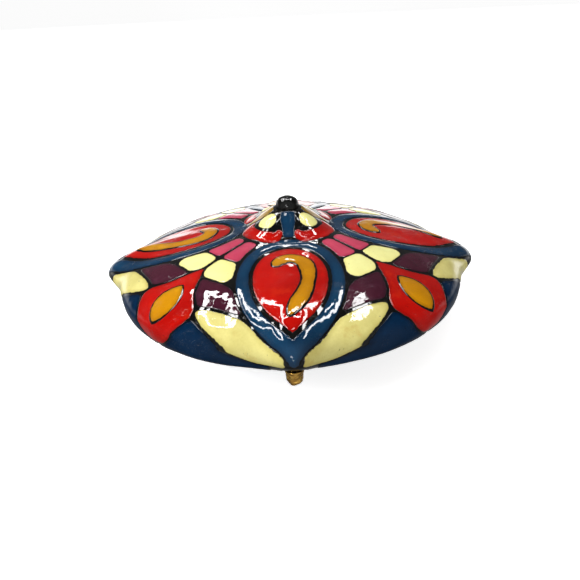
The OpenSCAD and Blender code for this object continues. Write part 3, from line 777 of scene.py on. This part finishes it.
def lid_ground():
    """The dark shell: outside, rolled edge, seat and the hollow under the dome."""
    spread = np.linspace(-1, 1, 97)[:-1]
    near_tips = 45 * np.sign(spread) * np.abs(spread) ** 1.5
    a = np.concatenate([near_tips + quarter for quarter in (0, 90, 180, 270)])
    u = np.concatenate([np.linspace(0.03, 0.9, 60), np.linspace(0.91, 1, 22),
                        np.linspace(1.01, 1 + ROLL, 16)])
    uu, aa = (v.ravel() for v in np.meshgrid(u, a, indexing="ij"))
    outer = lid_point(uu, aa)
    wave = GROUND_SWELL * lumps(outer, SWELL_MM, SWELL_SEED)
    outer = outer + lid_normal(uu, aa) * (wave - GROUND)[:, None]
    rows = [outer]
    turns = np.linspace(90, 3, 30)
    inner_r = np.concatenate([[SEAT_R - 0.3, CAVITY_R], CAVITY_R * np.sin(np.radians(turns))])
    inner_z = np.concatenate([[SEAT_H, SEAT_H], TIP_H + CAVITY_RISE * np.cos(np.radians(turns))])
    rows += [polar(np.full(len(a), r), np.full(len(a), z), a) for r, z in zip(inner_r, inner_z)]
    verts = np.vstack(rows)
    faces = grid_faces(len(u) + len(inner_r), len(a))
    count = len(verts)
    verts = np.vstack([verts, [[0, 0, outer[0][2]], [0, 0, inner_z[-1]]]])
    faces += end_faces(0, len(a), count) + end_faces(count - len(a), len(a), count + 1)
    piece = mesh_piece("lid_ground", verts, faces, GROUND_COAT, "lid")
    hinge = frame["joints"][0]["pos_m"]
    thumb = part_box("clasp_thumb")
    thumb_y = (thumb[0].y + thumb[1].y) / 2 - THUMB_BACK * MM
    cut(piece, rod(hinge, "X", BARREL_ROOM))
    cut(piece, rod((0, thumb_y, SEAT_H * MM), "Z", THUMB_ROOM))
    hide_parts("lid_shell")


def rod(at, axis, room):
    """A cutting tool: a cylinder at a place in metres, with its radius and length in mm."""
    radius, length = room
    bpy.ops.mesh.primitive_cylinder_add(vertices=64, radius=radius * MM, depth=length * MM, location=at)
    made = bpy.context.active_object
    if axis == "X":
        made.rotation_euler = (0, math.pi / 2, 0)
    return made


def cut(piece, tool):
    """Takes the tool's shape out of the piece, then removes the tool."""
    modifier = piece.modifiers.new("cut", "BOOLEAN")
    modifier.object = tool
    modifier.operation = "DIFFERENCE"
    modifier.solver = "EXACT"
    bpy.context.view_layer.update()
    mesh = bpy.data.meshes.new_from_object(piece.evaluated_get(bpy.context.evaluated_depsgraph_get()))
    piece.modifiers.clear()
    piece.data = mesh
    bpy.data.objects.remove(tool)


BIG_LUMP, SMALL_LUMP = 1.1, 0.45         # length in mm of the unevenness of turned and cast pieces


def lathe(name, profile, at, material, cols, rough):
    """A solid of revolution from rows of radius and height in mm, with rough mm of unevenness."""
    a = np.arange(cols) * 360 / cols
    verts = np.vstack([polar(np.full(cols, r), np.full(cols, z), a) for r, z in profile])
    away = verts * [1, 1, 0.4]
    away /= np.maximum(np.linalg.norm(away, axis=1, keepdims=True), 1e-6)
    uneven = lumps(verts, BIG_LUMP, 5) + 0.6 * lumps(verts, SMALL_LUMP, 6) - 0.7
    verts = verts + away * rough * uneven[:, None]
    verts = np.vstack([verts, [[0, 0, profile[0][1]], [0, 0, profile[-1][1]]]]) + np.asarray(at)
    end = len(profile) * cols
    faces = grid_faces(len(profile), cols)
    faces += end_faces(0, cols, end) + end_faces(end - cols, cols, end + 1)
    return mesh_piece(name, verts, faces, material, "lid")


ROUGH_ROOM = 0.05                # the knob is this much smaller than its CAD piece, for its unevenness


def bead_knob():
    """The black knob, whose profile is given in shares of its radius and height."""
    low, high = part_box("knob")
    r, h = high.x / MM, (high.z - low.z) / MM
    shape = [(0.97, 0.0), (0.99, 0.08), (1.0, 0.2), (0.995, 0.34), (0.97, 0.48), (0.92, 0.6),
             (0.84, 0.72), (0.71, 0.84), (0.56, 0.92), (0.38, 0.97), (0.18, 1.0), (0.02, 1.0)]
    line = smooth_line([(x * (r - ROUGH_ROOM), z * (h - ROUGH_ROOM)) for x, z in shape], 48)
    piece = lathe("bead_knob", line, (0, 0, low.z / MM), GROUND_COAT, 96, 0.018)
    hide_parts("knob")


BEAD_BACK = 1.55                 # from the front of the thumb to the middle of its bead, in mm
ARM_HALF, ARM_THICK = 1, 0.5     # half width and thickness of the arm


def thumb_bead():
    """The brass thumb: a rough cast bead on a short shank, with the arm to the rim behind it."""
    low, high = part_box("clasp_thumb")
    y, z = low.y / MM + BEAD_BACK, low.z / MM
    shape = [(0.02, 0.0), (0.5, 0.05), (0.9, 0.26), (1.15, 0.62), (1.22, 0.95), (1.2, 1.3), (1.22, 1.6),
             (1.3, 1.9), (1.34, 2.2), (1.3, 2.45), (0.02, 2.5)]
    piece = lathe("thumb_bead", smooth_line(shape, 70), (0, y, z), THUMB_BRASS, 110, 0.12)
    arm_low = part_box("lid_rim")[0].z / MM
    arm = box_mesh((-ARM_HALF, y, arm_low), (ARM_HALF, high.y / MM, arm_low + ARM_THICK), 0.12)
    join(piece, arm)
    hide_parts("clasp_thumb")


def box_mesh(low, high, bevel):
    """A block between two corners in mm, with rounded edges."""
    work = bmesh.new()
    bmesh.ops.create_cube(work, size=1)
    size = Vector(high) - Vector(low)
    centre = (Vector(high) + Vector(low)) / 2
    for v in work.verts:
        v.co = Vector(v.co[i] * size[i] for i in range(3)) + centre
    bmesh.ops.bevel(work, geom=work.edges[:], offset=bevel, segments=2, affect="EDGES", profile=0.6)
    for v in work.verts:
        v.co *= MM
    mesh = bpy.data.meshes.new("part")
    work.to_mesh(mesh)
    work.free()
    made = bpy.data.objects.new("part", mesh)
    bpy.context.scene.collection.objects.link(made)
    return made


def join(piece, other):
    """Adds the other object's mesh to the piece, and removes the other object."""
    work = bmesh.new()
    work.from_mesh(piece.data)
    work.from_mesh(other.data)
    work.to_mesh(piece.data)
    work.free()
    piece.data.polygons.foreach_set("use_smooth", [True] * len(piece.data.polygons))
    bpy.data.objects.remove(other)


def finish_cad_nodes():
    """The mounts, linings and fixings keep their CAD shapes and get their materials."""
    looks = {
        BRASS: ["lid_rim", "base_rim", "lid_hinge_leaf", "base_hinge_leaf", "hinge_pin", "catch_lug",
                "knob_pin", "knob_washer", "knob_nut"],
        LINING: ["lid_lining", "base_lining"],
        NAVY_LACQUER: ["base_bowl"],
        FELT: ["foot_pad"],
    }
    for material, names in looks.items():
        for name in names:
            mesh = frame["nodes"][name].data
            mesh.materials.clear()
            mesh.materials.append(material)


petals()
drops()
between_petals()
boss_cells()
lid_ground()
bead_knob()
thumb_bead()
finish_cad_nodes()

# ---------------------------------------------------------------------------
# Stage, light and camera
# ---------------------------------------------------------------------------

FLOOR_WIDE = 6                   # in metres
FLOOR_DROP = 0.00005             # keeps the floor clear of the foot ring
BACKDROP_FAR, BACKDROP_LOW = 2900, 5     # the dome's radius and how far it starts below the floor, in mm


def floor():
    """A pale paper floor that glows a little, so that only the shadow on it looks grey."""
    bpy.ops.mesh.primitive_plane_add(size=FLOOR_WIDE, location=(0, 0, -FLOOR_DROP))
    plane = bpy.context.active_object
    plane.name = "floor"
    nodes = Nodes("floor_paper")
    fibres = nodes.noise(0.4, 3.0)
    tone = nodes.mix(nodes.maths("MULTIPLY", fibres, 0.04), (0.93, 0.93, 0.93, 1),
                     (0.9, 0.9, 0.9, 1))
    plane.data.materials.append(nodes.set(Base_Color=tone, Roughness=0.9, Specular_IOR_Level=0.0,
                                          Emission_Color=(1, 1, 1, 1), Emission_Strength=0.76))
    plane.visible_glossy = False
    plane.visible_diffuse = False


def backdrop():
    """A pale paper dome far behind everything, which the reflections and the light don't see."""
    cols, rows = 72, 16
    around = np.arange(cols) * 360 / cols
    rings = [polar(np.full(cols, BACKDROP_FAR * math.cos(t)),
                   np.full(cols, BACKDROP_FAR * math.sin(t) - BACKDROP_LOW), around)
             for t in np.linspace(0, 1.54, rows)]
    mesh = bpy.data.meshes.new("backdrop")
    mesh.from_pydata((np.vstack(rings) * MM).tolist(), [], grid_faces(rows, cols))
    made = bpy.data.objects.new("backdrop", mesh)
    bpy.context.scene.collection.objects.link(made)
    nodes = Nodes("backdrop_paper")
    clouds = nodes.ramp(nodes.noise(0.0006, 2.0), 0.3, 0.7)
    tone = nodes.mix(clouds, (0.96, 0.96, 0.96, 1), (1, 1, 1, 1))
    mesh.materials.append(nodes.set(Base_Color=(0, 0, 0, 1), Roughness=1.0, Specular_IOR_Level=0.0,
                                    Emission_Color=tone, Emission_Strength=1.0))
    made.visible_glossy = False
    made.visible_diffuse = False
    made.visible_shadow = False


def world():
    """A bright low band behind, a dim room in front and a dark ceiling. The camera never sees it."""
    made = bpy.data.worlds.new("studio")
    bpy.context.scene.world = made
    made.use_nodes = True
    tree = made.node_tree
    place = tree.nodes.new("ShaderNodeTexCoord")
    split = tree.nodes.new("ShaderNodeSeparateXYZ")
    tree.links.new(place.outputs["Generated"], split.inputs["Vector"])

    def ramp(value, low, high, to_low, to_high):
        node = tree.nodes.new("ShaderNodeMapRange")
        node.interpolation_type = "SMOOTHSTEP"
        set_range(node, low, high, to_low, to_high)
        tree.links.new(value, node.inputs["Value"])
        return node.outputs["Result"]

    def combined(kind, a, b):
        node = tree.nodes.new("ShaderNodeMath")
        node.operation = kind
        tree.links.new(a, node.inputs[0])
        tree.links.new(b, node.inputs[1])
        return node.outputs[0]

    up, back_way = split.outputs["Z"], split.outputs["Y"]
    band = combined("MULTIPLY", ramp(up, 0.02, 0.18, 1.0, 0.05), ramp(up, -0.2, -0.05, 0.15, 1.0))
    behind = combined("MULTIPLY", band, ramp(back_way, -0.05, 0.98, 0.0, 2.2))
    in_front = ramp(back_way, -0.7, 0.2, 0.6, 0.08)
    back = tree.nodes["Background"]
    back.inputs["Color"].default_value = (1, 1, 1, 1)
    tree.links.new(combined("ADD", behind, in_front), back.inputs["Strength"])


def pane(name, centre, facing, up, size, radiance, glint):
    """A rectangular light. A glint shows only in reflections, and the others give only soft light."""
    back = Vector(facing).normalized() * -1
    up = Vector(up)
    up = (up - back * up.dot(back)).normalized()
    data = bpy.data.lights.new(name, "AREA")
    data.shape = "RECTANGLE"
    data.size, data.size_y = size
    data.energy = radiance * math.pi * size[0] * size[1]
    lamp = bpy.data.objects.new(name, data)
    bpy.context.scene.collection.objects.link(lamp)
    lamp.rotation_euler = Matrix((up.cross(back), up, back)).transposed().to_euler()
    lamp.location = centre
    lamp.visible_diffuse = not glint
    lamp.visible_glossy = glint


LAMP_FAR = 0.6                   # from the aim to each glint, in metres
AIM = Vector((0, 0, 0.012))


def glint(name, way, up, size, radiance, bar=0.0):
    """A bright window in the direction way, whole or, with a bar width, as a frame."""
    way = Vector(way).normalized()
    up = Vector(up)
    up = (up - way * up.dot(way)).normalized()
    right = up.cross(way)
    w, h = size
    parts = [(0, 0, w, h)]
    if bar:
        parts = [(0, h / 2, w + bar, bar), (0, -h / 2, w + bar, bar),
                 (-w / 2, 0, bar, h - bar), (w / 2, 0, bar, h - bar)]
    for i, (x, y, sx, sy) in enumerate(parts):
        centre = way * LAMP_FAR + AIM + right * x + up * y
        pane(f"{name}_{i}", centre, -way, up, (sx, sy), radiance, True)


def soft_light(name, at, size, radiance):
    pane(name, at, AIM - Vector(at), (0, 0, 1), size, radiance, False)


def lights():
    glint("petal_strip", (-0.02, 0.35, 0.93), (0, 1, 0), (0.34, 0.024), 38)
    glint("left_window", (-0.42, 0.21, 0.81), (0.2, 0.64, 0.0), (0.11, 0.34), 38, 0.03)
    glint("right_window", (0.40, 0.23, 0.88), (-0.15, 0.55, -0.08), (0.045, 0.27), 34)
    glint("back_window", (0.0, 0.77, 0.63), (0, 0, 1), (0.06, 0.018), 30)
    glint("boss_strip", (0.02, 0.12, 0.99), (-0.25, 1, 0), (0.15, 0.014), 34)
    glint("front_window", (-0.25, -0.8, 0.35), (0, 0, 1), (0.16, 0.1), 12)
    glint("low_window", (-0.1, -0.95, 0.1), (0, 0, 1), (0.1, 0.05), 34)
    soft_light("key", (-0.72, -0.26, 0.62), (0.6, 0.6), 7.8)
    soft_light("low_right", (0.95, -0.3, 0.12), (0.4, 0.3), 4.5)
    soft_light("overhead", (-0.1, 0.1, 1.0), (1.2, 1.2), 0.75)


CAMERA_LIFT, CAMERA_TURN, CAMERA_ROLL = 0.4491, 0.003, 0.0456    # in radians
CAMERA_FAR = 3.35                # in tip radii
TARGET = (-0.0057, 0.0, -0.1424)
SENSOR_MM = 36
TIP_SHARE = 0.3062               # the tip radius as a share of the picture's width
FOCAL_MM = SENSOR_MM * TIP_SHARE * CAMERA_FAR


def camera():
    """Places in tip radii from the tips' level, as the object is a little turned and tilted in view."""
    turn = Matrix.Rotation(CAMERA_TURN, 3, "Z")
    away = Vector((0, -math.cos(CAMERA_LIFT), math.sin(CAMERA_LIFT))) * CAMERA_FAR
    at = turn @ (Vector(TARGET) + away) * TIP_R + Vector((0, 0, TIP_H))
    look = turn @ Vector((0, math.cos(CAMERA_LIFT), -math.sin(CAMERA_LIFT)))
    right = turn @ Vector((1, 0, 0))
    up = right.cross(look)
    c, s = math.cos(CAMERA_ROLL), math.sin(CAMERA_ROLL)
    right, up = right * c - up * s, up * c + right * s
    data = bpy.data.cameras.new("camera")
    data.lens = FOCAL_MM
    data.sensor_width = SENSOR_MM
    data.clip_start = 0.005
    data.clip_end = 20
    made = bpy.data.objects.new("camera", data)
    bpy.context.scene.collection.objects.link(made)
    basis = Matrix((right, up, -look)).transposed().to_4x4()
    made.matrix_world = Matrix.Translation(at * MM) @ basis
    bpy.context.scene.camera = made


floor()
backdrop()
world()
lights()
camera()
bpy.context.scene.view_settings.view_transform = "Standard"
